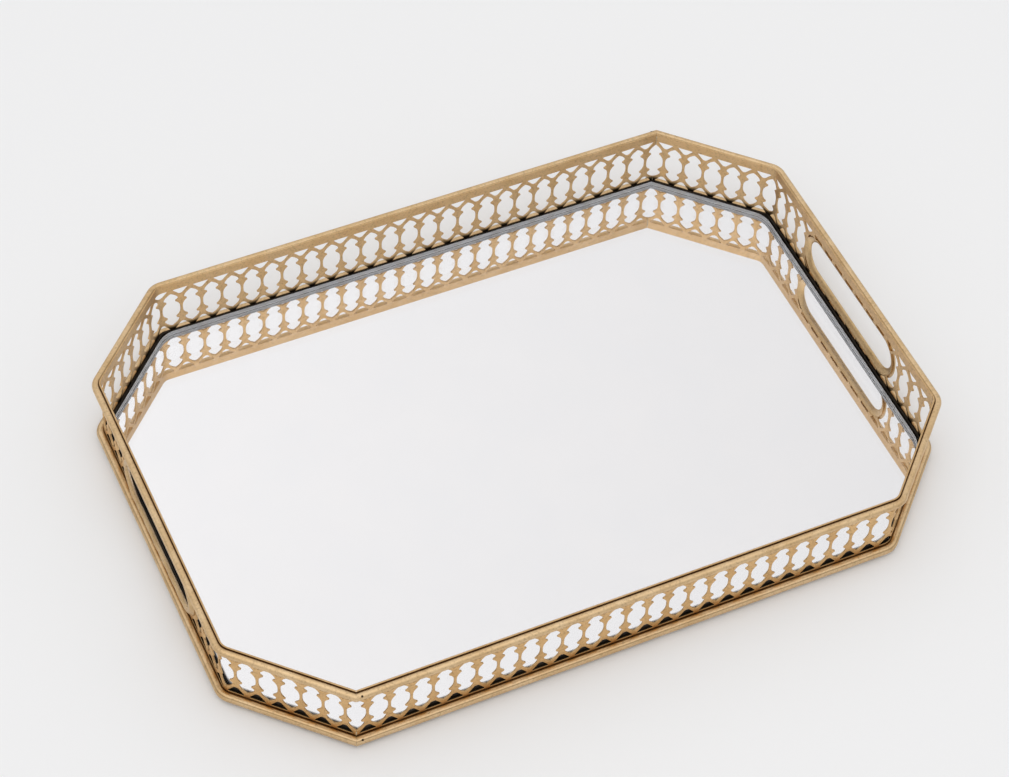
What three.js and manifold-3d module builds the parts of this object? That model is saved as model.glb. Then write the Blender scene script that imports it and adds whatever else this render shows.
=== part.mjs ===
// Dresser vanity tray: a mirror in a pierced metal gallery, a long octagon with a hand slot at each end.
// Millimetres. +X along the tray, +Y towards the back, +Z up, the underside of the feet at z = 0.
import * as THREE from 'three';
import { mergeGeometries, mergeVertices } from 'three/addons/utils/BufferGeometryUtils.js';
import Module from 'manifold-3d';

const wasm = await Module();
wasm.setup();

// Plan of the gallery's datum line, from which every offset is measured outward.
const HALF_LENGTH = 189;
const HALF_WIDTH = 132.6;
const CORNER_CUT = 47.7;
const BEND_RADIUS = 8;
const BEND_STEPS = 4;
const MITRE_TAN = Math.tan(Math.PI / 8);
const JOINT_GAP = 0.06;
const SNAP = 1e-3;
const FIT = 0.05;

// Heights of the stack, from the table up.
const PAN_UNDERSIDE = 1.3;
const PAN_SHEET = 0.6;
const TAPE = 1.2;
const GLASS = 5;
const PAN_FLOOR = PAN_UNDERSIDE + PAN_SHEET;
const GLASS_UNDERSIDE = PAN_FLOOR + TAPE;

// Rails: round beads fixed to the strip's outer face, each with a flat where it meets the strip.
const TOP_BEAD = { radius: 2, offset: 0.7, drop: 0.2 };
const BOTTOM_BEAD = { radius: 2.3, offset: 0.8, drop: 36.6 };
const DATUM_Z = PAN_UNDERSIDE + BOTTOM_BEAD.radius + BOTTOM_BEAD.drop;
const BEAD_STEP = Math.PI / 7;

// Pierced strip.
const STRIP_OUTER = -0.9;
const STRIP_INNER = -1.8;
const STRIP_MIDDLE = (STRIP_OUTER + STRIP_INNER) / 2;
const STRIP_TOP = DATUM_Z + 1.9;
const STRIP_BOTTOM = DATUM_Z - BOTTOM_BEAD.drop;
const PITCHES = 53;
const PATTERN_Z = DATUM_Z - 18.2;
const OVAL_TIP = 12;
const SHOULDER = { half: 3.7, z: 8.3 };
const BARB = { half: 2.75, z: 5.8 };
const BELLY_HALF = 4.55;
const TRIANGLE = { half: 3.75, flat: 15.2, tip: 11.2 };

// Hand slot: a long round-ended hole in each short wall, lined by a raised moulding.
const SLOT = { length: 93, height: 26, z: DATUM_Z - 18 };
const SLOT_END_STEPS = 10;
const RING = { width: 3.5, flange: 1.4, taper: 0.28, rise: 0.6, lip: 0.1, shoulder: 0.9, crest: 1.2 };

// Mirror and the sheet-metal pan under it. The mirror's corners are rounded, but for the two at the mitres.
const MIRROR_INSET = { long: 3.3, short: 4.2, corner: 14 };
const PAN_RIM = { outer: 2.4, inner: 3, top: 7.8 };
const CORNER_STEPS = 6;
const TAPE_WIDTH = 12;
const TAPE_INSET = 22;
const CLIP = { width: 9, reach: 10, overhang: 0.5, top: PAN_UNDERSIDE - FIT, bottom: 0.5, spread: 0.6 };
const PAD = { radius: 7, inset: 34, top: PAN_UNDERSIDE - FIT, facets: 24 };

// Pins through the rails beside the two mitred joints.
const PIN = { radius: 0.55, length: 1.5, clearance: 0.1, setback: 2.2, tilt: Math.PI * 0.28, facets: 12 };

// ---------- materials ----------

function finish(name, color, roughness, metalness) {
  return new THREE.MeshStandardMaterial({ name, color, roughness, metalness });
}

function satinBrass(name) {
  return finish(name, 0xc9a368, 0.32, 1);
}

function silveredGlass() {
  return finish('mirror', 0xe6e9ea, 0.03, 0.9);
}

function blackPaint() {
  return finish('base_paint', 0x161514, 0.55, 0);
}

function foamTape() {
  return finish('foam_tape', 0xdedbd2, 0.9, 0);
}

function padRubber() {
  return finish('pad_rubber', 0x2a2826, 0.85, 0);
}

function darkPin() {
  return finish('pin_metal', 0x3a2f22, 0.6, 1);
}

// ---------- plan geometry ----------

// Corners of the right half, clockwise seen from above, from the back mitre to the front mitre.
function halfCorners() {
  return [
    new THREE.Vector2(HALF_LENGTH - CORNER_CUT, HALF_WIDTH),
    new THREE.Vector2(HALF_LENGTH, HALF_WIDTH - CORNER_CUT),
    new THREE.Vector2(HALF_LENGTH, CORNER_CUT - HALF_WIDTH),
    new THREE.Vector2(HALF_LENGTH - CORNER_CUT, -HALF_WIDTH),
    new THREE.Vector2(CORNER_CUT - HALF_LENGTH, -HALF_WIDTH),
  ];
}

function leftNormal(direction) {
  return new THREE.Vector2(-direction.y, direction.x);
}

// The four walls of the right half: where each starts and ends once its bends are taken off.
function halfWalls() {
  const corners = halfCorners();
  const tangent = BEND_RADIUS * MITRE_TAN;
  return corners.slice(0, -1).map((corner, i) => {
    const direction = corners[i + 1].clone().sub(corner);
    const full = direction.length();
    direction.normalize();
    const from = i === 0 ? 0 : tangent;
    const to = i === corners.length - 2 ? full : full - tangent;
    return { corner, direction, normal: leftNormal(direction), from, to };
  });
}

// Walls and bends in order, each with its start and end along the strip's middle line.
function halfPath() {
  const pieces = [];
  const walls = halfWalls();
  const bendLength = (BEND_RADIUS + STRIP_MIDDLE) * Math.PI / 4;
  let along = 0;
  walls.forEach((wall, i) => {
    const first = i === 0;
    const last = i === walls.length - 1;
    const trim = -STRIP_MIDDLE * MITRE_TAN;
    const from = wall.from + (first ? trim : 0);
    const to = wall.to - (last ? trim : 0);
    pieces.push({ wall, from, to, start: along, end: along + to - from, first, last });
    along += to - from;
    if (!last) {
      const centre = wall.corner.clone()
        .addScaledVector(wall.direction, wall.to)
        .addScaledVector(wall.normal, -BEND_RADIUS);
      const angle = Math.atan2(wall.normal.y, wall.normal.x);
      pieces.push({ centre, angle, start: along, end: along + bendLength });
      along += bendLength;
    }
  });
  return { pieces, length: along };
}

const PATH = halfPath();
const PITCH = PATH.length / PITCHES;

// A point at a distance along the strip and an outward offset, the ends lying on the mitre planes.
function pathPoint(along, offset) {
  const piece = PATH.pieces.find((p) => along <= p.end + 1e-9) ?? PATH.pieces.at(-1);
  if (piece.centre) {
    const angle = piece.angle - (along - piece.start) / (BEND_RADIUS + STRIP_MIDDLE);
    const reach = BEND_RADIUS + offset;
    return new THREE.Vector2(Math.cos(angle), Math.sin(angle)).multiplyScalar(reach).add(piece.centre);
  }
  const { wall } = piece;
  let distance = piece.from + along - piece.start;
  if (along < 1e-6) {
    distance = JOINT_GAP - offset * MITRE_TAN;
  } else if (along > PATH.length - 1e-6) {
    distance = wall.to - JOINT_GAP + offset * MITRE_TAN;
  }
  return wall.corner.clone().addScaledVector(wall.direction, distance).addScaledVector(wall.normal, offset);
}

// Distances along the path where a bend starts, turns a step, or ends.
function bendStations() {
  const stations = [];
  for (const piece of PATH.pieces.filter((p) => p.centre)) {
    for (let k = 0; k <= BEND_STEPS; k += 1) {
      stations.push(THREE.MathUtils.lerp(piece.start, piece.end, k / BEND_STEPS));
    }
  }
  return stations;
}

// The whole octagon moved in from the datum line, clockwise from the back mitre. Its corners get the
// radius given, but for the two mitres, which stay sharp.
function octagon(insetLong, insetShort, radius) {
  const x = HALF_LENGTH - insetShort;
  const y = HALF_WIDTH - insetLong;
  const insetChamfer = (insetLong + insetShort) / 2;
  const reach = HALF_LENGTH + HALF_WIDTH - CORNER_CUT - insetChamfer * Math.SQRT2;
  const half = [[reach - y, y], [x, reach - x], [x, x - reach], [reach - y, -y]];
  const corners = [...half, ...half.map(([cx, cy]) => [-cx, -cy])];
  const points = [];
  corners.forEach(([cx, cy], i) => {
    const corner = new THREE.Vector2(cx, cy);
    if (radius === 0 || i % 4 === 0) {
      points.push(corner);
      return;
    }
    const before = new THREE.Vector2(...corners[i - 1]).sub(corner).normalize();
    const after = new THREE.Vector2(...corners[(i + 1) % 8]).sub(corner).normalize();
    const inward = before.clone().add(after).normalize();
    const centre = corner.clone().addScaledVector(inward, radius / Math.cos(Math.PI / 8));
    const outward = Math.atan2(-before.x, before.y);
    for (let k = 0; k <= CORNER_STEPS; k += 1) {
      const angle = outward - (k / CORNER_STEPS) * Math.PI / 4;
      points.push(new THREE.Vector2(Math.cos(angle), Math.sin(angle)).multiplyScalar(radius).add(centre));
    }
  });
  return new THREE.Shape(points);
}

// ---------- solids ----------

function welded(geometry) {
  geometry.deleteAttribute('normal');
  geometry.deleteAttribute('uv');
  return mergeVertices(geometry, 1e-4);
}

function plate(shape, bottom, top) {
  const geometry = new THREE.ExtrudeGeometry(shape, { depth: top - bottom, bevelEnabled: false });
  return welded(geometry.translate(0, 0, bottom));
}

function toManifold(geometry) {
  const solid = welded(geometry);
  return new wasm.Manifold(new wasm.Mesh({
    numProp: 3,
    vertProperties: new Float32Array(solid.attributes.position.array),
    triVerts: new Uint32Array(solid.index.array),
  }));
}

function fromManifold(solid) {
  const mesh = solid.getMesh();
  const geometry = new THREE.BufferGeometry();
  geometry.setAttribute('position', new THREE.BufferAttribute(mesh.vertProperties, 3));
  geometry.setIndex(new THREE.BufferAttribute(mesh.triVerts, 1));
  return geometry;
}

function meshOf(name, geometry, material) {
  const mesh = new THREE.Mesh(geometry, material);
  mesh.name = name;
  mesh.geometry.computeVertexNormals();
  return mesh;
}

// A closed solid from rings of points: each ring is joined to the next, and the ends are capped, or
// joined where the rings come round on themselves. The section gives the caps their triangles.
function loft(rings, section, closed = false) {
  const count = section.length;
  const positions = rings.flat().flatMap((p) => p.toArray());
  const index = [];
  const spans = closed ? rings.length : rings.length - 1;
  for (let r = 0; r < spans; r += 1) {
    const here = r * count;
    const next = ((r + 1) % rings.length) * count;
    for (let k = 0; k < count; k += 1) {
      const after = (k + 1) % count;
      index.push(here + k, next + k, next + after, here + k, next + after, here + after);
    }
  }
  if (!closed) {
    const last = (rings.length - 1) * count;
    for (const [a, b, c] of THREE.ShapeUtils.triangulateShape(section, [])) {
      index.push(a, c, b, last + a, last + b, last + c);
    }
  }
  const geometry = new THREE.BufferGeometry();
  geometry.setAttribute('position', new THREE.Float32BufferAttribute(positions, 3));
  geometry.setIndex(index);
  return geometry;
}

// ---------- rails ----------

// Round bead with a flat on its inner side: (outward offset, height) points, clockwise.
function beadProfile(bead) {
  const flat = STRIP_OUTER + FIT;
  const start = Math.acos((flat - bead.offset) / bead.radius);
  const steps = Math.ceil(2 * start / BEAD_STEP);
  const profile = [];
  for (let k = 0; k <= steps; k += 1) {
    const angle = THREE.MathUtils.lerp(start, -start, k / steps);
    profile.push(new THREE.Vector2(
      bead.offset + bead.radius * Math.cos(angle),
      DATUM_Z - bead.drop + bead.radius * Math.sin(angle),
    ));
  }
  return profile;
}

function railSolid(bead) {
  const profile = beadProfile(bead);
  const stations = [0, ...bendStations(), PATH.length];
  const rings = stations.map((along) => profile.map((p) => {
    const spot = pathPoint(along, p.x);
    return new THREE.Vector3(spot.x, spot.y, p.y);
  }));
  return toManifold(loft(rings, profile));
}

// A pin near the front mitre, its axis tilted up out of the bead's upper outer side.
function pinCylinder(radius, length, bead) {
  const wall = PATH.pieces.at(-1).wall;
  const spot = wall.corner.clone()
    .addScaledVector(wall.direction, wall.to - PIN.setback)
    .addScaledVector(wall.normal, bead.offset);
  const outward = new THREE.Vector3(
    wall.normal.x * Math.cos(PIN.tilt),
    wall.normal.y * Math.cos(PIN.tilt),
    Math.sin(PIN.tilt),
  );
  const centre = new THREE.Vector3(spot.x, spot.y, DATUM_Z - bead.drop);
  centre.addScaledVector(outward, bead.radius - PIN.length / 2);
  const turn = new THREE.Quaternion().setFromUnitVectors(new THREE.Vector3(0, 1, 0), outward);
  const geometry = new THREE.CylinderGeometry(radius, radius, length, PIN.facets);
  return welded(geometry.applyQuaternion(turn).translate(...centre.toArray()));
}

function railWithPinHole(bead) {
  const hole = pinCylinder(PIN.radius + PIN.clearance, PIN.length + 2 * PIN.clearance, bead);
  return fromManifold(railSolid(bead).subtract(toManifold(hole)));
}

// ---------- pierced strip ----------

// An oval opening with a barbed shoulder above and below its belly.
function ovalShape(along) {
  const side = [
    [SHOULDER.half, -SHOULDER.z],
    [BARB.half, -BARB.z],
    [BELLY_HALF, 0],
    [BARB.half, BARB.z],
    [SHOULDER.half, SHOULDER.z],
  ];
  const right = side.map(([half, z]) => new THREE.Vector2(along + half, PATTERN_Z + z));
  const left = side.map(([half, z]) => new THREE.Vector2(along - half, PATTERN_Z + z)).reverse();
  const low = new THREE.Vector2(along, PATTERN_Z - OVAL_TIP);
  const high = new THREE.Vector2(along, PATTERN_Z + OVAL_TIP);
  return new THREE.Shape([low, ...right, high, ...left]);
}

// A triangle between two ovals, pointing at the strip's middle from above (1) or below (-1).
function triangleShape(along, side) {
  return new THREE.Shape([
    new THREE.Vector2(along - TRIANGLE.half, PATTERN_Z + side * TRIANGLE.flat),
    new THREE.Vector2(along + TRIANGLE.half, PATTERN_Z + side * TRIANGLE.flat),
    new THREE.Vector2(along, PATTERN_Z + side * TRIANGLE.tip),
  ]);
}

// Every opening of the strip, as shapes on the flat strip: an oval at each pitch, triangles between.
function stripOpenings() {
  const openings = [];
  for (let k = 0; k <= PITCHES; k += 1) {
    openings.push(ovalShape(k * PITCH));
    if (k < PITCHES) {
      openings.push(triangleShape((k + 0.5) * PITCH, 1), triangleShape((k + 0.5) * PITCH, -1));
    }
  }
  return openings;
}

// Openings as one set of punches that pass through both faces.
function punchesFor(shapes) {
  const depth = STRIP_OUTER - STRIP_INNER + 2;
  const punches = shapes.map((shape) => {
    const punch = new THREE.ExtrudeGeometry(shape, { depth, bevelEnabled: false });
    return welded(punch.translate(0, 0, -1));
  });
  return toManifold(mergeGeometries(punches));
}

// Outline of a round-ended slot about a centre.
function stadium(centreX, centreZ, length, height, steps) {
  const radius = height / 2;
  const reach = length / 2 - radius;
  const points = [];
  for (const side of [1, -1]) {
    for (let k = 0; k <= steps; k += 1) {
      const turn = (side > 0 ? 0 : Math.PI) + (k / steps - 0.5) * Math.PI;
      points.push(new THREE.Vector2(
        centreX + side * reach + radius * Math.cos(turn),
        centreZ + radius * Math.sin(turn),
      ));
    }
  }
  return points;
}

// The slot sits in the middle of the half's second wall, the short one.
function slotCentre() {
  const shortWall = PATH.pieces.filter((p) => p.wall)[1];
  return (shortWall.start + shortWall.end) / 2;
}

// A stretch of the flat strip: distance along the path, height, and thickness from its inner face.
function flatStretch(from, to, punches) {
  const thickness = STRIP_OUTER - STRIP_INNER;
  const blank = new THREE.BoxGeometry(to - from, STRIP_TOP - STRIP_BOTTOM, thickness);
  blank.translate((from + to) / 2, (STRIP_TOP + STRIP_BOTTOM) / 2, thickness / 2);
  const pierced = fromManifold(toManifold(blank).subtract(punches)).toNonIndexed();
  const position = pierced.attributes.position;
  const triangles = [];
  for (let i = 0; i < position.count; i += 3) {
    triangles.push([0, 1, 2].map((k) => new THREE.Vector3().fromBufferAttribute(position, i + k)));
  }
  return triangles;
}

// Puts a point that lies on a fold exactly on it, so that the stretches on either side weld there.
function snapToFold(point, fold) {
  if (Math.abs(point.x - fold) < SNAP) {
    point.set(fold, Math.round(point.y / SNAP) * SNAP, Math.round(point.z / SNAP) * SNAP);
  }
}

// The pierced strip: flat stretches between the folds, wrapped round the path and welded into one sheet.
function galleryStrip() {
  const slot = new THREE.Shape(stadium(slotCentre(), SLOT.z, SLOT.length, SLOT.height, SLOT_END_STEPS));
  const punches = punchesFor(stripOpenings()).add(punchesFor([slot]));
  const folds = [0, ...bendStations(), PATH.length];
  const points = [];
  for (let i = 0; i + 1 < folds.length; i += 1) {
    for (const triangle of flatStretch(folds[i], folds[i + 1], punches)) {
      triangle.forEach((p) => [folds[i], folds[i + 1]].forEach((fold) => snapToFold(p, fold)));
      const onInnerFold = folds.slice(1, -1).some((fold) => triangle.every((p) => p.x === fold));
      if (!onInnerFold) {
        // Walking the path clockwise mirrors the flat strip, so each triangle is turned over.
        const [a, b, c] = triangle;
        points.push(a, c, b);
      }
    }
  }
  const wrapped = points.map((p) => {
    const spot = pathPoint(p.x, STRIP_INNER + p.z);
    return new THREE.Vector3(spot.x, spot.y, p.y);
  });
  return mergeVertices(new THREE.BufferGeometry().setFromPoints(wrapped), 1e-4);
}

// ---------- hand-slot moulding ----------

// Section of the moulding: (distance out from the clear opening's edge, outward offset).
function ringSection() {
  const seat = STRIP_OUTER + FIT;
  const neck = RING.width - 2 * FIT;
  const edge = RING.width + RING.flange;
  const section = [
    [RING.width * 0.1, RING.shoulder],
    [RING.width * 0.4, RING.crest],
    [RING.width * 0.8, RING.shoulder],
    [edge - RING.taper, seat + RING.rise],
    [edge, seat],
    [neck, seat],
    [neck, STRIP_INNER + 2 * FIT],
    [0, RING.lip],
  ];
  return section.map(([out, offset]) => new THREE.Vector2(out, offset));
}

// The section carried round the slot: one ring of points for each point of the slot's outline.
function ringMoulding() {
  const section = ringSection();
  const outlines = section.map(({ x: out }) => {
    const length = SLOT.length + 2 * (out - RING.width);
    const height = SLOT.height + 2 * (out - RING.width);
    return stadium(0, SLOT.z, length, height, SLOT_END_STEPS);
  });
  const rings = outlines[0].map((_, i) => outlines.map((outline, k) => (
    new THREE.Vector3(HALF_LENGTH + section[k].y, -outline[i].x, outline[i].y)
  )));
  return loft(rings, section, true);
}

// ---------- mirror, pan, tape, clips and pads ----------

function mirrorPlate() {
  const outline = octagon(MIRROR_INSET.long, MIRROR_INSET.short, MIRROR_INSET.corner);
  return plate(outline, GLASS_UNDERSIDE, GLASS_UNDERSIDE + GLASS);
}

function basePan() {
  const block = toManifold(plate(octagon(PAN_RIM.outer, PAN_RIM.outer, 0), PAN_UNDERSIDE, PAN_RIM.top));
  const well = toManifold(plate(octagon(PAN_RIM.inner, PAN_RIM.inner, 0), PAN_FLOOR, PAN_RIM.top + 1));
  return fromManifold(block.subtract(well));
}

function tapeStrip(length) {
  const geometry = new THREE.BoxGeometry(length, TAPE_WIDTH, TAPE - 2 * FIT);
  return welded(geometry.translate(0, 0, PAN_FLOOR + TAPE / 2));
}

function baseClip() {
  const { width, reach, overhang, top, bottom } = CLIP;
  const geometry = new THREE.BoxGeometry(width, reach, top - bottom);
  return welded(geometry.translate(0, overhang - reach / 2, (top + bottom) / 2));
}

function footPad() {
  const geometry = new THREE.CylinderGeometry(PAD.radius, PAD.radius, PAD.top, PAD.facets);
  return welded(geometry.rotateX(Math.PI / 2).translate(0, 0, PAD.top / 2));
}

// ---------- assembly ----------

const tray = new THREE.Group();
tray.name = 'vanity_tray';

function addGalleryHalf(side, turn) {
  const half = new THREE.Group();
  half.name = `${side}_half`;
  half.rotation.z = turn;
  const topRail = railWithPinHole(TOP_BEAD);
  const bottomRail = railWithPinHole(BOTTOM_BEAD);
  const topPin = pinCylinder(PIN.radius, PIN.length, TOP_BEAD);
  const bottomPin = pinCylinder(PIN.radius, PIN.length, BOTTOM_BEAD);
  half.add(meshOf(`gallery_${side}`, galleryStrip(), satinBrass('gallery_brass')));
  half.add(meshOf(`top_rail_${side}`, topRail, satinBrass('rail_brass')));
  half.add(meshOf(`bottom_rail_${side}`, bottomRail, satinBrass('rail_brass')));
  half.add(meshOf(`handle_ring_${side}`, ringMoulding(), satinBrass('ring_brass')));
  half.add(meshOf(`joint_pin_top_${side}`, topPin, darkPin()));
  half.add(meshOf(`joint_pin_bottom_${side}`, bottomPin, darkPin()));
  tray.add(half);
}

function addTape() {
  const longLength = 2 * (HALF_LENGTH - CORNER_CUT) - 2 * TAPE_INSET;
  const shortLength = 2 * (HALF_WIDTH - CORNER_CUT) - 2 * TAPE_INSET;
  const runs = [
    ['back', longLength, 0, HALF_WIDTH - TAPE_INSET, 0],
    ['front', longLength, 0, TAPE_INSET - HALF_WIDTH, 0],
    ['right', shortLength, HALF_LENGTH - TAPE_INSET, 0, Math.PI / 2],
    ['left', shortLength, TAPE_INSET - HALF_LENGTH, 0, Math.PI / 2],
  ];
  for (const [name, length, x, y, turn] of runs) {
    const strip = meshOf(`mirror_tape_${name}`, tapeStrip(length), foamTape());
    strip.position.set(x, y, 0);
    strip.rotation.z = turn;
    tray.add(strip);
  }
}

// Clips under the rail, two on each long wall and two on each short one.
function addClips() {
  const along = (HALF_LENGTH - CORNER_CUT) * CLIP.spread;
  const across = (HALF_WIDTH - CORNER_CUT) * CLIP.spread;
  const spots = [
    [along, HALF_WIDTH, 0],
    [-along, HALF_WIDTH, 0],
    [-HALF_LENGTH, across, Math.PI / 2],
    [-HALF_LENGTH, -across, Math.PI / 2],
    [-along, -HALF_WIDTH, Math.PI],
    [along, -HALF_WIDTH, Math.PI],
    [HALF_LENGTH, -across, -Math.PI / 2],
    [HALF_LENGTH, across, -Math.PI / 2],
  ];
  spots.forEach(([x, y, turn], i) => {
    const clip = meshOf(`base_clip_${i + 1}`, baseClip(), satinBrass('clip_brass'));
    clip.position.set(x, y, 0);
    clip.rotation.z = turn;
    tray.add(clip);
  });
}

function addPads() {
  const spots = [[1, 1], [-1, 1], [-1, -1], [1, -1]];
  spots.forEach(([sideX, sideY], i) => {
    const pad = meshOf(`foot_pad_${i + 1}`, footPad(), padRubber());
    pad.position.set(sideX * (HALF_LENGTH - PAD.inset), sideY * (HALF_WIDTH - PAD.inset), 0);
    tray.add(pad);
  });
}

addGalleryHalf('right', 0);
addGalleryHalf('left', Math.PI);
tray.add(meshOf('mirror_glass', mirrorPlate(), silveredGlass()));
tray.add(meshOf('base_pan', basePan(), blackPaint()));
addTape();
addClips();
addPads();

export default tray;
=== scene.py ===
"""Dresser vanity tray: a mirror in a pierced brass gallery with a hand slot at each end.

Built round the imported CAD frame. Lengths are millimetres until a mesh is made, then metres.
"""
import math

import bmesh
import bpy
from mathutils import Matrix, Vector, noise
from mathutils.geometry import delaunay_2d_cdt


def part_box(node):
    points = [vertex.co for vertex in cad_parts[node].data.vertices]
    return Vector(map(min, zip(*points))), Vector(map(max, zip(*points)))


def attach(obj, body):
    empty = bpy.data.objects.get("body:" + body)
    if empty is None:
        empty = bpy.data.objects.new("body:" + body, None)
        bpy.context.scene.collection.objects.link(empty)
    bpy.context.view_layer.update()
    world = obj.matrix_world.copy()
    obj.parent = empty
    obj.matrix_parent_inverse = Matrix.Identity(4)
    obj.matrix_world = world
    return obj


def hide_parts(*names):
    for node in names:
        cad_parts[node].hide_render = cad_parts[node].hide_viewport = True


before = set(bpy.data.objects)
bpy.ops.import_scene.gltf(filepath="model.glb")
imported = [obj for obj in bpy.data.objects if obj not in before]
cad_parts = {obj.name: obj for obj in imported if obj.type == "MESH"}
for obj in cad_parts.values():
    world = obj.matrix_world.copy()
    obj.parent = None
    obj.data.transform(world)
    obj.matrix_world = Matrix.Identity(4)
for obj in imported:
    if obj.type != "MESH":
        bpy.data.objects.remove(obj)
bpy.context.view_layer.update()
MM = 0.001

# Plan of the gallery's datum line, clockwise from the back mitre. Offsets are measured outward from it.
HALF_LENGTH = 189
HALF_WIDTH = 132.6
CORNER_CUT = 47.7
BEND_RADIUS = 8
BEND_STEPS = 10
MITRE_TAN = math.tan(math.pi / 8)
JOINT_GAP = 0.06

# Beads of the two rails, and the strip between them.
DATUM_Z = 40.2
TOP_BEAD = {"radius": 1.95, "offset": 0.7, "z": DATUM_Z - 0.2, "groove": 0.0}
BOTTOM_BEAD = {"radius": 2.24, "offset": 0.8, "z": DATUM_Z - 36.6, "groove": 0.34}
BEAD_POINTS = 30
GROOVE_ANGLE = 0.75
GROOVE_WIDTH = 0.13
# Painted shade: brown painted into the bottom bead's groove and into the crevice where each bead meets the
# strip.
GROOVE_SHADE = 0.9
CREVICE_SHADE_WIDTH = 0.22
UNEVENNESS = 0.02
STATION_STEP = 6
STRIP_OUTER = -0.9
STRIP_INNER = -1.8
STRIP_MIDDLE = -1.35
STRIP_TOP = DATUM_Z + 1.9
STRIP_BOTTOM = DATUM_Z - 36.6
STRIP_CHAMFER = 0.11
SEAT = STRIP_OUTER + 0.05

# One repeat of the pattern, measured from the oval's middle.
PITCHES = 53
PATTERN_Z = DATUM_Z - 18.2
BELLY = 4.85
BELLY_CURVE = 0.01224
KNOT_Z = 5.85
KNOT_ROUND = 0.3
SPIKE = (3.95, 7.45)
DOME_TOP = 12.35
DOME_POINT = 1.85
CURVE_STEPS = 8
TRIANGLE_FLAT = {1: 14.85, -1: 15.25}
TRIANGLE_TIP = 10.35
TRIANGLE_HALF = 4.1
TIP_HALF = 1.25
TIP_RISE = 0.55

# Hand slot and its moulding.
SLOT_LENGTH = 93
SLOT_HEIGHT = 26
SLOT_Z = DATUM_Z - 18
RING_WIDTH = 3.5
RING_FLANGE = 1.4
RING_RISE = 0.6
CREST = {"centre": 1.75, "half": 1.7, "base": 0.1, "height": 1.05, "from": 0.94, "sweep": 0.84}

# Solder at the mitres.
SOLDER_LUMPS = 3
SOLDER_SIZE = 0.42
SOLDER_SPREAD = 0.16
SOLDER_SHAPE = Vector((1, 0.55, 1.9))

# Mirror.
MIRROR_INSET_LONG = 3.3
MIRROR_INSET_SHORT = 4.2
MIRROR_CORNER = 14
GLASS_BOTTOM, GLASS_TOP = (corner.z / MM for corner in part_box("mirror_glass"))
EDGE_SEAM = 0.35
SILVER_INSET = 0.6
SILVER_DEPTH = 0.05
SILVER_GAP = 0.06


# ---------- plan ----------

def left_normal(direction):
    return Vector((-direction.y, direction.x))


def half_walls():
    """The right half's four walls, each with its straight part's limits."""
    corners = [
        Vector((HALF_LENGTH - CORNER_CUT, HALF_WIDTH)),
        Vector((HALF_LENGTH, HALF_WIDTH - CORNER_CUT)),
        Vector((HALF_LENGTH, CORNER_CUT - HALF_WIDTH)),
        Vector((HALF_LENGTH - CORNER_CUT, -HALF_WIDTH)),
        Vector((CORNER_CUT - HALF_LENGTH, -HALF_WIDTH)),
    ]
    tangent = BEND_RADIUS * MITRE_TAN
    walls = []
    for i, corner in enumerate(corners[:-1]):
        direction = corners[i + 1] - corner
        full = direction.length
        direction.normalize()
        start = 0 if i == 0 else tangent
        end = full if i == 3 else full - tangent
        walls.append((corner, direction, left_normal(direction), start, end))
    return walls


def half_path():
    """Straight walls and bends in order, placed along the strip's middle line."""
    pieces = []
    along = 0.0
    walls = half_walls()
    bend_length = (BEND_RADIUS + STRIP_MIDDLE) * math.pi / 4
    trim = -STRIP_MIDDLE * MITRE_TAN
    for i, (corner, direction, normal, start, end) in enumerate(walls):
        start += trim if i == 0 else 0
        end -= trim if i == 3 else 0
        pieces.append({"corner": corner, "direction": direction, "normal": normal,
                       "from": start, "start": along, "end": along + end - start})
        along += end - start
        if i < 3:
            centre = corner + direction * end - normal * BEND_RADIUS
            angle = math.atan2(normal.y, normal.x)
            pieces.append({"centre": centre, "angle": angle,
                           "start": along, "end": along + bend_length})
            along += bend_length
    return pieces, along


PATH, PATH_LENGTH = half_path()
PITCH = PATH_LENGTH / PITCHES
SLOT_ALONG = (PATH[2]["start"] + PATH[2]["end"]) / 2


def path_point(along, offset):
    """A plan point at a distance along the half's path and an outward offset, mitred at both ends."""
    piece = next((p for p in PATH if along <= p["end"] + 1e-9), PATH[-1])
    if "centre" in piece:
        angle = piece["angle"] - (along - piece["start"]) / (BEND_RADIUS + STRIP_MIDDLE)
        return piece["centre"] + Vector((math.cos(angle), math.sin(angle))) * (BEND_RADIUS + offset)
    distance = piece["from"] + along - piece["start"]
    if along < 1e-6:
        distance = JOINT_GAP - offset * MITRE_TAN
    elif along > PATH_LENGTH - 1e-6:
        full = piece["from"] + piece["end"] - piece["start"] - STRIP_MIDDLE * MITRE_TAN
        distance = full - JOINT_GAP + offset * MITRE_TAN
    return piece["corner"] + piece["direction"] * distance + piece["normal"] * offset


def bend_stations():
    return [p["start"] + (p["end"] - p["start"]) * k / BEND_STEPS
            for p in PATH if "centre" in p for k in range(BEND_STEPS + 1)]


def octagon(inset_long, inset_short, radius, steps=8):
    """The mirror's outline: rounded corners, but for the two at the mitres."""
    x = HALF_LENGTH - inset_short
    y = HALF_WIDTH - inset_long
    reach = HALF_LENGTH + HALF_WIDTH - CORNER_CUT - (inset_long + inset_short) / 2 * math.sqrt(2)
    half = [(reach - y, y), (x, reach - x), (x, x - reach), (reach - y, -y)]
    corners = [Vector(c) for c in half] + [Vector((-cx, -cy)) for cx, cy in half]
    points = []
    for i, corner in enumerate(corners):
        if i % 4 == 0 or radius <= 0:
            points.append(corner)
            continue
        before = (corners[i - 1] - corner).normalized()
        after = (corners[(i + 1) % 8] - corner).normalized()
        centre = corner + (before + after).normalized() * (radius / math.cos(math.pi / 8))
        outward = math.atan2(-before.x, before.y)
        for k in range(steps + 1):
            angle = outward - k / steps * math.pi / 4
            points.append(centre + Vector((math.cos(angle), math.sin(angle))) * radius)
    return points


# ---------- mesh helpers ----------

SHARP_ANGLE = 35


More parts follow.
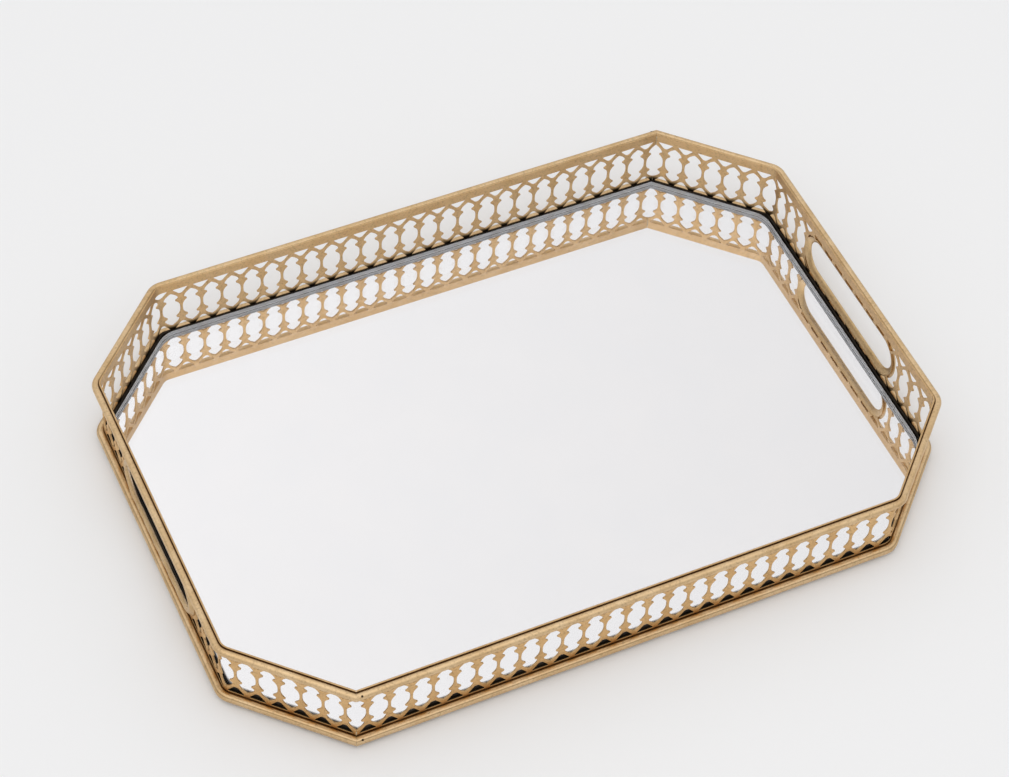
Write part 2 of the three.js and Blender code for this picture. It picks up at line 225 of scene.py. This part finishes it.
def add_piece(name, vertices, faces, materials, face_materials=None, smooth=True, painted_shade=None):
    """A mesh object in the shared frame that rides on the one body.

    face_materials gives each face's material, and the last argument says how much painted shade, in brown,
    each vertex gets.
    """
    mesh = bpy.data.meshes.new(name)
    mesh.from_pydata([tuple(c * MM for c in v) for v in vertices], [], faces)
    mesh.validate()
    for material in materials:
        mesh.materials.append(material)
    if face_materials:
        mesh.polygons.foreach_set("material_index", face_materials)
    if smooth:
        mesh.shade_smooth()
        mesh.set_sharp_from_angle(angle=math.radians(SHARP_ANGLE))
    # Per-vertex painted shade, read by the rail material.
    if painted_shade:
        mesh.attributes.new("painted_shade", "FLOAT", "POINT").data.foreach_set("value", painted_shade)
    mesh.update()
    piece = bpy.data.objects.new(name, mesh)
    bpy.context.scene.collection.objects.link(piece)
    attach(piece, "root")
    return piece


def half_turned(point, side):
    """The left half is the right half turned half way round."""
    x, y, z = point
    return (x, y, z) if side == "right" else (-x, -y, z)


def lofted(rings, closed):
    """Vertices and faces of a tube through rings of points, joined end to end or capped."""
    count = len(rings[0])
    vertices = [p for ring in rings for p in ring]
    faces = []
    spans = len(rings) if closed else len(rings) - 1
    for r in range(spans):
        here = r * count
        there = (r + 1) % len(rings) * count
        for k in range(count):
            after = (k + 1) % count
            faces.append((here + k, there + k, there + after, here + after))
    if not closed:
        last = (len(rings) - 1) * count
        faces.append(tuple(range(count)))
        faces.append(tuple(last + k for k in reversed(range(count))))
    return vertices, faces


def turned(vertices, side):
    return [half_turned(v, side) for v in vertices]


# ---------- pierced strip ----------

def knot_half(z):
    """Half width of an oval between its two knots."""
    return BELLY - BELLY_CURVE * abs(z) ** 3


def oval_quarter():
    """Upper right quarter of an oval: belly, knot, spike and dome, from its middle to its top."""
    heights = [KNOT_Z * k / CURVE_STEPS for k in range(CURVE_STEPS + 1)]
    points = [(knot_half(z), z) for z in heights]
    nx, nz = points[-1]
    points += [(nx + 0.02, nz + KNOT_ROUND), (nx + 0.25, nz + 2 * KNOT_ROUND)]
    sx, sz = SPIKE
    points += [(sx - 0.62, sz - 0.62), (sx, sz)]
    for k in range(1, CURVE_STEPS + 1):
        turn = k / CURVE_STEPS * math.pi / 2
        points.append((sx * math.cos(turn) ** DOME_POINT, sz + (DOME_TOP - sz) * math.sin(turn)))
    points[-1] = (0.0, DOME_TOP)
    return points


OVAL_QUARTER = oval_quarter()


def oval_outline(along):
    quarter = OVAL_QUARTER
    right = [(x, -z) for x, z in reversed(quarter[1:])] + quarter
    left = [(-x, z) for x, z in reversed(right[1:-1])]
    return [(along + x, PATTERN_Z + z) for x, z in right + left]


def triangle_outline(along, side):
    """Triangle: flat towards the rail with rounded corners, straight flanks, a round tip."""
    flat = TRIANGLE_FLAT[side]
    half = TRIANGLE_HALF
    right = [(half - 0.45, flat), (half - 0.12, flat - 0.12),
             (half, flat - 0.5), (half - 0.15, flat - 0.9)]
    tip_x, tip_z = TIP_HALF, TRIANGLE_TIP + TIP_RISE
    start_x, start_z = right[-1]
    for k in (1, 2, 3):
        right.append((start_x + (tip_x - start_x) * k / 3, start_z + (tip_z - start_z) * k / 3))
    right += [(0.75, TRIANGLE_TIP + 0.18), (0.3, TRIANGLE_TIP + 0.03), (0.0, TRIANGLE_TIP)]
    left = [(-x, z) for x, z in reversed(right[:-1])]
    points = [(0.0, flat)] + right + left
    if side < 0:
        points.reverse()
    return [(along + x, PATTERN_Z + side * z) for x, z in points]


def slot_outline(length, height, steps=16):
    """Round-ended slot as points about its own centre: (along, height)."""
    radius = height / 2
    reach = length / 2 - radius
    points = []
    for side in (1, -1):
        for k in range(steps + 1):
            turn = (0 if side > 0 else math.pi) + (k / steps - 0.5) * math.pi
            points.append((side * reach + radius * math.cos(turn), radius * math.sin(turn)))
    return points


def inside(point, outline):
    """Whether a point of the flat strip lies within an outline."""
    x, y = point
    hit = False
    x1, y1 = outline[-1]
    for x2, y2 in outline:
        if (y1 > y) != (y2 > y) and x < (x2 - x1) * (y - y1) / (y2 - y1) + x1:
            hit = not hit
        x1, y1 = x2, y2
    return hit


def strip_sheet():
    """The flat strip's points as (along, height), and its triangles with the holes left out."""
    ovals = [oval_outline(k * PITCH) for k in range(PITCHES + 1)]
    uppers = [triangle_outline((k + 0.5) * PITCH, 1) for k in range(PITCHES)]
    lowers = [triangle_outline((k + 0.5) * PITCH, -1) for k in range(PITCHES)]
    slot_loop = slot_outline(SLOT_LENGTH, SLOT_HEIGHT)
    slot = [(SLOT_ALONG + a, SLOT_Z + h) for a, h in slot_loop]
    points = []
    edges = []

    def add_loop(loop, closed=True):
        first = len(points)
        points.extend(loop)
        edges.extend((first + k, first + k + 1) for k in range(len(loop) - 1))
        if closed:
            edges.append((len(points) - 1, first))

    add_loop([(0, STRIP_BOTTOM), (PATH_LENGTH, STRIP_BOTTOM),
              (PATH_LENGTH, STRIP_TOP), (0, STRIP_TOP)])
    for along in bend_stations():
        add_loop([(along, STRIP_BOTTOM), (along, STRIP_TOP)], closed=False)
    for outline in ovals + uppers + lowers + [slot]:
        add_loop(outline)
    result = delaunay_2d_cdt([Vector(p) for p in points], edges, [], 0, 1e-5, False)
    sheet, triangles = result[0], result[2]
    kept = []
    for triangle in triangles:
        centre = sum((sheet[i] for i in triangle), Vector((0, 0))) / 3
        if not 0 < centre.x < PATH_LENGTH:
            continue
        k = min(int(centre.x / PITCH), PITCHES - 1)
        near = (ovals[k], ovals[k + 1], uppers[k], lowers[k], slot)
        if not any(inside(centre, outline) for outline in near):
            kept.append(tuple(triangle))
    return sheet, kept


def strip_solid():
    """The sheet given its thickness, with a small chamfer round every opening and edge."""
    sheet, triangles = strip_sheet()
    directed = {}
    for a, b, c in triangles:
        for edge in ((a, b), (b, c), (c, a)):
            directed[edge] = directed.get(edge, 0) + 1
    border = [edge for edge in directed if (edge[1], edge[0]) not in directed]
    inward = {}
    for a, b in border:
        normal = left_normal((sheet[b] - sheet[a]).normalized())
        for i in (a, b):
            inward.setdefault(i, []).append(normal)
    shift = {}
    for i, normals in inward.items():
        total = sum(normals, Vector((0, 0)))
        if total.length < 0.3:
            shift[i] = Vector((0, 0))
        else:
            middle = total.normalized()
            spread = STRIP_CHAMFER / max(middle.dot(normals[0]), 0.5)
            shift[i] = middle * min(spread, 2 * STRIP_CHAMFER)
    used = sorted({i for t in triangles for i in t})
    levels = (STRIP_INNER, STRIP_INNER + STRIP_CHAMFER, STRIP_OUTER - STRIP_CHAMFER, STRIP_OUTER)
    vertices = []
    place = {}

    def vertex(i, level):
        if (i, level) in place:
            return place[i, level]
        spot = sheet[i].copy()
        at_end = spot.x < 1e-6 or spot.x > PATH_LENGTH - 1e-6
        if level in (0, 3) and i in shift and not at_end:
            spot += shift[i]
        plan = path_point(min(max(spot.x, 0), PATH_LENGTH), levels[level])
        place[i, level] = len(vertices)
        vertices.append((plan.x, plan.y, spot.y))
        return place[i, level]

    faces = []
    # Painted light: outside faces and the outer chamfer take the outside colour copy of the brass, the rest
    # the inside copy.
    side_shading = []
    for a, b, c in triangles:
        faces.append((vertex(a, 3), vertex(c, 3), vertex(b, 3)))
        faces.append((vertex(a, 0), vertex(b, 0), vertex(c, 0)))
        side_shading += [0, 1]
    for a, b in border:
        for level in range(3):
            above, below = level + 1, level
            faces.append((vertex(a, above), vertex(b, above), vertex(b, below), vertex(a, below)))
            side_shading.append(0 if level == 2 else 1)
    return vertices, faces, side_shading


# ---------- rails ----------

def bead_profile(bead):
    """Round bead with a flat against the strip, clockwise from its inner top.

    Each point is (outward offset, height, how much painted shade it gets).
    """
    start = math.acos((SEAT - bead["offset"]) / bead["radius"])
    profile = []
    for k in range(BEAD_POINTS + 1):
        angle = start - 2 * start * k / BEAD_POINTS
        dip = bead["groove"] * math.exp(-((angle - GROOVE_ANGLE) / GROOVE_WIDTH) ** 2)
        radius = bead["radius"] - dip
        # Painted shade: brown in the groove and in the crevice against the strip.
        groove = GROOVE_SHADE * dip / max(bead["groove"], 0.001)
        crevice = math.exp(-((abs(angle) - start) / CREVICE_SHADE_WIDTH) ** 2)
        offset = bead["offset"] + radius * math.cos(angle)
        profile.append((offset, bead["z"] + radius * math.sin(angle), max(groove, crevice)))
    return profile


def rail_stations():
    """The path cut into even steps, with the bends' own stations kept."""
    fixed = [0.0] + bend_stations() + [PATH_LENGTH]
    stations = [0.0]
    for a, b in zip(fixed, fixed[1:]):
        parts = max(1, round((b - a) / STATION_STEP))
        stations += [a + (b - a) * k / parts for k in range(1, parts + 1)]
    return stations


def rail_mesh(bead, seed):
    """The bead run along the half's path, slightly uneven, and how much painted shade each vertex gets."""
    profile = bead_profile(bead)
    rings = []
    for along in rail_stations():
        ring = []
        for offset, z, _ in profile:
            swell = UNEVENNESS * noise.noise(Vector((along * 0.11, offset * 0.8, seed)))
            on_seat = offset < SEAT + 0.01
            spot = path_point(along, offset + (0 if on_seat else swell - UNEVENNESS))
            ring.append((spot.x, spot.y, z))
        rings.append(ring)
    vertices, faces = lofted(rings, closed=False)
    return vertices, faces, [brown for _, _, brown in profile] * len(rings)


# ---------- hand-slot moulding ----------

def ring_section():
    """Section of the funnel lip: (distance out from the clear opening's edge, outward offset)."""
    neck = RING_WIDTH - 0.1
    rim = RING_WIDTH + RING_FLANGE
    crest = []
    for k in range(CURVE_STEPS + 1):
        turn = math.pi * (CREST["from"] - CREST["sweep"] * k / CURVE_STEPS)
        distance = CREST["centre"] + CREST["half"] * math.cos(turn)
        crest.append((distance, CREST["base"] + CREST["height"] * math.sin(turn)))
    flare = [(0.02, 0.25), (0.0, 0.1), (0.35, -0.35),
             (1.1, -0.85), (2.1, -1.28), (neck, STRIP_INNER + 0.12)]
    foot = [(neck, SEAT), (rim, SEAT), (rim - 0.04, SEAT + RING_RISE / 2), (rim - 0.3, SEAT + RING_RISE)]
    return flare + foot + crest[::-1]


def ring_mesh():
    """The section swept round the slot in the right-hand end wall."""
    columns = []
    for distance, offset in ring_section():
        grown = 2 * (distance - RING_WIDTH)
        loop = slot_outline(SLOT_LENGTH + grown, SLOT_HEIGHT + grown)
        columns.append([(HALF_LENGTH + offset, -a, SLOT_Z + h) for a, h in loop])
    rings = [[column[i] for column in columns] for i in range(len(columns[0]))]
    return lofted(rings[::-1], closed=True)


# ---------- solder ----------

def solder_mesh(top, seed):
    """Lumps of solder bridging a mitre above or below its oval, inside and outside the strip."""
    mesh = bmesh.new()
    if top:
        low, high = PATTERN_Z + 13.2, STRIP_TOP - 1.2
    else:
        low, high = STRIP_BOTTOM + 2.4, PATTERN_Z - 13.4
    for face, offset in enumerate((STRIP_INNER, STRIP_OUTER)):
        plan = path_point(0.0, offset)
        for k in range(SOLDER_LUMPS):
            spot = Vector((plan.x, plan.y, low + (high - low) * (k + 0.5) / SOLDER_LUMPS))
            made = bmesh.ops.create_icosphere(mesh, subdivisions=3, radius=1.0)["verts"]
            size = SOLDER_SIZE + SOLDER_SPREAD * noise.noise(Vector((k * 3.7, face * 5.1, seed)))
            for vertex in made:
                bulge = 1 + 0.3 * noise.noise(vertex.co * 1.3 + Vector((seed, k, face)))
                vertex.co = spot + vertex.co * SOLDER_SHAPE * size * bulge
    vertices = [tuple(v.co) for v in mesh.verts]
    faces = [tuple(v.index for v in f.verts) for f in mesh.faces]
    mesh.free()
    return vertices, faces


# ---------- mirror ----------

def mirror_outline(shrink):
    return octagon(MIRROR_INSET_LONG + shrink, MIRROR_INSET_SHORT + shrink, MIRROR_CORNER - shrink)


def mirror_plate(layers):
    """A closed plate from the mirror's outline at (shrink, height) layers, bottom to top."""
    return lofted([[(p.x, p.y, z) for p in mirror_outline(shrink)] for shrink, z in layers], closed=False)


# ---------- materials ----------

class Nodes:
    """A short way to write a material's node tree."""

    def __init__(self, name):
        self.material = bpy.data.materials.new(name)
        self.material.use_nodes = True
        self.tree = self.material.node_tree
        self.shader = self.tree.nodes["Principled BSDF"]
        self.coords = self.tree.nodes.new("ShaderNodeTexCoord")

    def add(self, kind, inputs=None, **settings):
        node = self.tree.nodes.new(kind)
        for key, value in settings.items():
            setattr(node, key, value)
        for key, value in (inputs or {}).items():
            if isinstance(value, bpy.types.NodeSocket):
                self.tree.links.new(value, node.inputs[key])
            else:
                node.inputs[key].default_value = value
        return node

    def noise(self, scale, detail=4, roughness=0.55, stretch=(1, 1, 1)):
        mapping = self.add("ShaderNodeMapping", {
            "Vector": self.coords.outputs["Object"], "Scale": stretch,
        })
        return self.add("ShaderNodeTexNoise", {
            "Vector": mapping.outputs[0], "Scale": scale, "Detail": detail, "Roughness": roughness,
        }).outputs["Fac"]

    def ramp(self, factor, *stops):
        node = self.add("ShaderNodeValToRGB", {"Fac": factor})
        elements = node.color_ramp.elements
        while len(elements) < len(stops):
            elements.new(0.5)
        for element, (position, colour) in zip(elements, stops):
            element.position = position
            element.color = (*colour, 1) if isinstance(colour, tuple) else (colour, colour, colour, 1)
        return node.outputs["Color"]

    def mix(self, factor, a, b, blend="MIX"):
        node = self.add("ShaderNodeMix", data_type="RGBA", blend_type=blend)
        for socket, value in ((node.inputs[0], factor), (node.inputs[6], a), (node.inputs[7], b)):
            if isinstance(value, bpy.types.NodeSocket):
                self.tree.links.new(value, socket)
            else:
                socket.default_value = value if isinstance(value, (int, float)) else (*value, 1)
        return node.outputs[2]

    def range(self, value, low, high, to_low, to_high):
        return self.add("ShaderNodeMapRange", {
            "Value": value, "From Min": low, "From Max": high, "To Min": to_low, "To Max": to_high,
        }).outputs[0]

    def bump(self, height, strength, distance):
        return self.add("ShaderNodeBump", {
            "Height": height, "Strength": strength, "Distance": distance,
        }).outputs[0]

    def set(self, **values):
        for key, value in values.items():
            socket = self.shader.inputs[key.replace("_", " ")]
            if isinstance(value, bpy.types.NodeSocket):
                self.tree.links.new(value, socket)
            else:
                socket.default_value = value


def height_of(nodes):
    """Height above the table, in millimetres."""
    split = nodes.add("ShaderNodeSeparateXYZ", {"Vector": nodes.coords.outputs["Object"]})
    scaled = nodes.add("ShaderNodeMath", {0: split.outputs["Z"], 1: 1000.0}, operation="MULTIPLY")
    return scaled.outputs[0]


def brass(name, light, dark, roughness, shade_stops, brown=(0.085, 0.042, 0.014)):
    """Satin plated brass: cloudy tone, fine brushing, and painted shade: brown mixed in where shade falls.

    The stops are (height, share) pairs that say how much painted shade, in brown, lies at each height.
    Where the list is empty, the mesh's own per-vertex painted-shade values say so.
    """
    nodes = Nodes(name)
    cloud = nodes.noise(90, detail=5)
    fine = nodes.noise(900, detail=3)
    grain = nodes.noise(2600, detail=2)
    tone = nodes.mix(nodes.ramp(cloud, (0.36, 0.0), (0.66, 1.0)), dark, light)
    speck = nodes.ramp(fine, (0.3, 0.75), (0.5, 1.0))
    tone = nodes.mix(1.0, tone, speck, blend="MULTIPLY")
    # Painted shade: brown mixed in by height, from the stops.
    if shade_stops:
        low, high = shade_stops[0][0], shade_stops[-1][0]
        level = nodes.range(height_of(nodes), low, high, 0.0, 1.0)
        stops = [((z - low) / (high - low), share) for z, share in shade_stops]
        share = nodes.ramp(level, *stops)
        tone = nodes.mix(share, tone, brown)
    else:
        # Painted shade: brown mixed in from the mesh's per-vertex attribute.
        painted_shade = nodes.add("ShaderNodeAttribute", attribute_name="painted_shade").outputs["Fac"]
        tone = nodes.mix(nodes.range(painted_shade, 0.0, 1.0, 0.0, 0.62), tone, brown)
    rough = nodes.range(cloud, 0.3, 0.7, roughness - 0.05, roughness + 0.07)
    nodes.set(Base_Color=tone, Metallic=1.0, Roughness=rough, Normal=nodes.bump(grain, 0.25, 0.00004))
    return nodes.material


def mirror_glass():
    """Clear float glass, very slightly wavy."""
    nodes = Nodes("float_glass")
    wave = nodes.noise(14, detail=1)
    nodes.set(Base_Color=(0.995, 0.988, 0.993, 1), Roughness=0.0, IOR=1.52, Transmission_Weight=1.0,
              Normal=nodes.bump(wave, 0.03, 0.00002))
    return nodes.material


def ground_edge():
    """The glass's ground edge, seen through the sheet: grey, with darker streaks along it."""
    nodes = Nodes("ground_edge")
    streak = nodes.noise(60, detail=6, stretch=(1, 1, 14))
    blotch = nodes.noise(45, detail=3)
    tone = nodes.ramp(streak, (0.32, (0.68, 0.70, 0.75)), (0.48, (0.93, 0.95, 0.98)),
                      (0.66, (0.98, 0.98, 1.0)))
    tone = nodes.mix(nodes.ramp(blotch, (0.58, 0.0), (0.75, 0.22)), tone, (0.30, 0.31, 0.34))
    nodes.set(Base_Color=tone, Roughness=0.45, Specular_IOR_Level=0.3,
              Normal=nodes.bump(streak, 0.3, 0.0001))
    return nodes.material


def silver_layer():
    """Silver behind the glass, with a faint haze."""
    nodes = Nodes("silver_layer")
    haze = nodes.noise(25, detail=3)
    tone = nodes.ramp(haze, (0.3, (0.955, 0.96, 0.965)), (0.7, (0.972, 0.972, 0.972)))
    nodes.set(Base_Color=tone, Metallic=1.0, Roughness=0.0)
    return nodes.material


def backing_paint():
    """Grey protective paint on the back of the silver."""
    nodes = Nodes("mirror_backing")
    speck = nodes.noise(400, detail=3)
    tone = nodes.ramp(speck, (0.3, (0.10, 0.105, 0.11)), (0.7, (0.16, 0.165, 0.17)))
    nodes.set(Base_Color=tone, Roughness=0.6, Normal=nodes.bump(speck, 0.3, 0.0001))
    return nodes.material


def black_paint():
    """Matt black paint on sheet metal, with a brown cast where it is thin."""
    nodes = Nodes("base_paint")
    cloud = nodes.noise(60, detail=4)
    orange_peel = nodes.noise(700, detail=2)
    tone = nodes.ramp(cloud, (0.35, (0.012, 0.010, 0.008)), (0.7, (0.035, 0.027, 0.020)))
    rough = nodes.range(orange_peel, 0.3, 0.7, 0.45, 0.62)
    nodes.set(Base_Color=tone, Roughness=rough, Specular_IOR_Level=0.12,
              Normal=nodes.bump(orange_peel, 0.35, 0.00008))
    return nodes.material


def foam_tape():
    """Off-white foam mounting tape."""
    nodes = Nodes("foam_tape")
    cells = nodes.add("ShaderNodeTexVoronoi", {
        "Vector": nodes.coords.outputs["Object"], "Scale": 1400.0,
    }).outputs["Distance"]
    tone = nodes.ramp(cells, (0.1, (0.55, 0.53, 0.48)), (0.6, (0.76, 0.74, 0.69)))
    nodes.set(Base_Color=tone, Roughness=0.92, Normal=nodes.bump(cells, 0.5, 0.0002))
    return nodes.material


def pad_rubber():
    """Dusty black rubber."""
    nodes = Nodes("pad_rubber")
    dust = nodes.noise(300, detail=5)
    grain = nodes.noise(2200, detail=2)
    tone = nodes.ramp(dust, (0.4, (0.018, 0.018, 0.018)), (0.75, (0.06, 0.058, 0.055)))
    nodes.set(Base_Color=tone, Roughness=0.85, Normal=nodes.bump(grain, 0.5, 0.0001))
    return nodes.material


def pin_metal():
    """Dark, pitted pin end."""
    nodes = Nodes("pin_metal")
    pit = nodes.noise(1800, detail=3)
    tone = nodes.ramp(pit, (0.35, (0.025, 0.016, 0.009)), (0.7, (0.11, 0.07, 0.035)))
    nodes.set(Base_Color=tone, Metallic=0.8, Roughness=0.6, Normal=nodes.bump(pit, 0.6, 0.0001))
    return nodes.material


# Painted light: the strip's outside and inside are one brass, given two colour copies for how each side is
# lit. The outside copy carries painted shade from 3 mm fading out by 13 mm, the shadow line above the
# bottom bead, and at 41 to 42.2 mm, the dark crevice under the top bead.
OUTER_BRASS = brass("gallery_brass", (0.79, 0.535, 0.265), (0.69, 0.435, 0.19), 0.42, [
    (3.0, 0.8), (5.6, 0.75), (6.2, 0.3), (9.0, 0.12), (13.0, 0.0), (41.0, 0.0), (41.5, 0.7), (42.2, 0.92),
], (0.11, 0.052, 0.016))
# The inside copy carries painted shade, near black, from 6.5 mm fading out by 13 mm, where the strip's
# lower inside faces the dark pan.
INNER_BRASS = brass("gallery_brass_inside", (0.71, 0.49, 0.262), (0.59, 0.38, 0.18), 0.42, [
    (6.5, 1.0), (8.2, 0.95), (9.1, 0.5), (10.4, 0.14), (13.0, 0.0), (42.0, 0.0), (42.2, 0.1),
], (0.022, 0.013, 0.006))
# The rails' brass is set paler and less saturated than the strip's: a painted highlight on the beads.
RAIL_BRASS = brass("rail_brass", (0.75, 0.55, 0.325), (0.645, 0.44, 0.23), 0.36, [])
RING_BRASS = brass("ring_brass", (0.68, 0.49, 0.27), (0.58, 0.39, 0.19), 0.34, [])
CLIP_BRASS = brass("clip_brass", (0.50, 0.32, 0.13), (0.40, 0.24, 0.09), 0.45, [])
SOLDER = brass("solder", (0.80, 0.72, 0.55), (0.60, 0.50, 0.32), 0.38, [])


# ---------- pieces ----------

strip_vertices, strip_faces, strip_side_shading = strip_solid()
ring_vertices, ring_faces = ring_mesh()
for side in ("right", "left"):
    strip = add_piece(f"pierced_strip_{side}", turned(strip_vertices, side), strip_faces,
                      [OUTER_BRASS, INNER_BRASS], strip_side_shading)
    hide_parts(f"gallery_{side}")
    for level, bead, seed in (("top", TOP_BEAD, 3.1), ("bottom", BOTTOM_BEAD, 8.4)):
        vertices, faces, painted_shade = rail_mesh(bead, seed)
        rail = add_piece(f"{level}_bead_{side}", turned(vertices, side), faces, [RAIL_BRASS], painted_shade=painted_shade)
        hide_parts(f"{level}_rail_{side}")
    ring = add_piece(f"slot_moulding_{side}", turned(ring_vertices, side), ring_faces, [RING_BRASS])
    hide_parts(f"handle_ring_{side}")

glass_foot = GLASS_BOTTOM + SILVER_GAP
glass_vertices, glass_faces = mirror_plate([
    (EDGE_SEAM, glass_foot), (0.0, glass_foot + EDGE_SEAM),
    (0.0, GLASS_TOP - EDGE_SEAM), (EDGE_SEAM, GLASS_TOP),
])
edge_faces = [1] * (len(glass_faces) - 2) + [0, 0]
glass = add_piece("mirror_glass_sheet", glass_vertices, glass_faces, [mirror_glass(), ground_edge()],
                  edge_faces, smooth=False)
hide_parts("mirror_glass")
silver_vertices, silver_faces = mirror_plate([
    (SILVER_INSET, GLASS_BOTTOM), (SILVER_INSET, GLASS_BOTTOM + SILVER_DEPTH),
])
silver = add_piece("mirror_silvering", silver_vertices, silver_faces, [silver_layer(), backing_paint()],
                   [1] * (len(silver_faces) - 1) + [0], smooth=False)

for end, side, first_seed in (("back", "right", 9.3), ("front", "left", 10.3)):
    for level, seed in (("top", first_seed), ("bottom", first_seed + 3)):
        vertices, faces = solder_mesh(level == "top", seed)
        lump = add_piece(f"solder_{level}_{end}", turned(vertices, side), faces, [SOLDER])


def finish_node(name, material):
    """A CAD node that stays as it is gets its material."""
    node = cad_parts[name]
    node.data.materials.clear()
    node.data.materials.append(material)


paint, tape, rubber, pin = black_paint(), foam_tape(), pad_rubber(), pin_metal()
finish_node("base_pan", paint)
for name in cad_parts:
    if name.startswith("mirror_tape"):
        finish_node(name, tape)
    elif name.startswith("foot_pad"):
        finish_node(name, rubber)
    elif name.startswith("base_clip"):
        finish_node(name, CLIP_BRASS)
    elif name.startswith("joint_pin"):
        finish_node(name, pin)


# ---------- floor, light and camera ----------

WORLD_HEIGHTS = [(-1.0, 0.75), (0.0, 0.55), (0.3, 0.80), (0.62, 0.985), (0.8, 0.955), (1.0, 0.86)]
WORLD_SIDES = [(-1.0, 1.0), (0.12, 1.0), (0.42, 0.86), (0.7, 0.95), (1.0, 1.0)]
FLOOR_REACH = 6.0
CAMERA_PLACE = Vector((-0.41125, -0.80107, 1.14546))
CAMERA_TARGET = Vector((0.00368, 0.01690, 0.0215))
CAMERA_ROLL = 3.193
CAMERA_LENS = 103.35
CAMERA_SHIFT = (-0.00517, 0.00134)


def pale_floor():
    mesh = bpy.data.meshes.new("floor")
    corners = [(x * FLOOR_REACH, y * FLOOR_REACH, 0) for x, y in ((-1, -1), (1, -1), (1, 1), (-1, 1))]
    mesh.from_pydata(corners, [], [(0, 1, 2, 3)])
    floor = bpy.data.objects.new("floor", mesh)
    bpy.context.scene.collection.objects.link(floor)
    nodes = Nodes("pale_floor")
    nodes.set(Base_Color=(0.87, 0.87, 0.875, 1), Roughness=0.75, Specular_IOR_Level=0.2)
    mesh.materials.append(nodes.material)


def area_light(name, location, target, size, power):
    data = bpy.data.lights.new(name, "AREA")
    data.shape = "RECTANGLE"
    data.size, data.size_y = size
    data.energy = power
    light = bpy.data.objects.new(name, data)
    light.location = location
    light.rotation_euler = (Vector(target) - Vector(location)).to_track_quat("-Z", "Y").to_euler()
    bpy.context.scene.collection.objects.link(light)


def studio_world():
    """A pale studio: dimmer at the horizon, bright overhead, a little dimmer towards the back right."""
    world = bpy.data.worlds.new("studio")
    bpy.context.scene.world = world
    world.use_nodes = True
    tree = world.node_tree
    coords = tree.nodes.new("ShaderNodeTexCoord")
    split = tree.nodes.new("ShaderNodeSeparateXYZ")
    tree.links.new(coords.outputs["Generated"], split.inputs[0])
    tones = []
    for axis, stops in (("Z", WORLD_HEIGHTS), ("X", WORLD_SIDES)):
        ramp = tree.nodes.new("ShaderNodeValToRGB")
        shifted = tree.nodes.new("ShaderNodeMapRange")
        shifted.inputs["From Min"].default_value = -1.0
        tree.links.new(split.outputs[axis], shifted.inputs["Value"])
        tree.links.new(shifted.outputs[0], ramp.inputs["Fac"])
        elements = ramp.color_ramp.elements
        while len(elements) < len(stops):
            elements.new(0.5)
        for element, (direction, tone) in zip(elements, stops):
            element.position = (direction + 1) / 2
            element.color = (tone, tone, tone, 1)
        tones.append(ramp.outputs["Color"])
    product = tree.nodes.new("ShaderNodeMix")
    product.data_type = "RGBA"
    product.blend_type = "MULTIPLY"
    product.inputs[0].default_value = 1.0
    tree.links.new(tones[0], product.inputs[6])
    tree.links.new(tones[1], product.inputs[7])
    background = tree.nodes["Background"]
    tree.links.new(product.outputs[2], background.inputs["Color"])
    background.inputs["Strength"].default_value = 1.0


def main_camera():
    data = bpy.data.cameras.new("camera")
    data.lens = CAMERA_LENS
    data.sensor_width = 36.0
    data.shift_x, data.shift_y = CAMERA_SHIFT
    camera = bpy.data.objects.new("camera", data)
    turn = (CAMERA_TARGET - CAMERA_PLACE).to_track_quat("-Z", "Y").to_matrix().to_4x4()
    roll = Matrix.Rotation(math.radians(CAMERA_ROLL), 4, "Z")
    camera.matrix_world = Matrix.Translation(CAMERA_PLACE) @ turn @ roll
    bpy.context.scene.collection.objects.link(camera)
    bpy.context.scene.camera = camera


pale_floor()
studio_world()
area_light("overhead_softbox", (-0.25, -0.5, 2.2), (0, -0.1, 0), (2.8, 2.4), 9)
main_camera()
bpy.context.scene.view_settings.view_transform = "Standard"
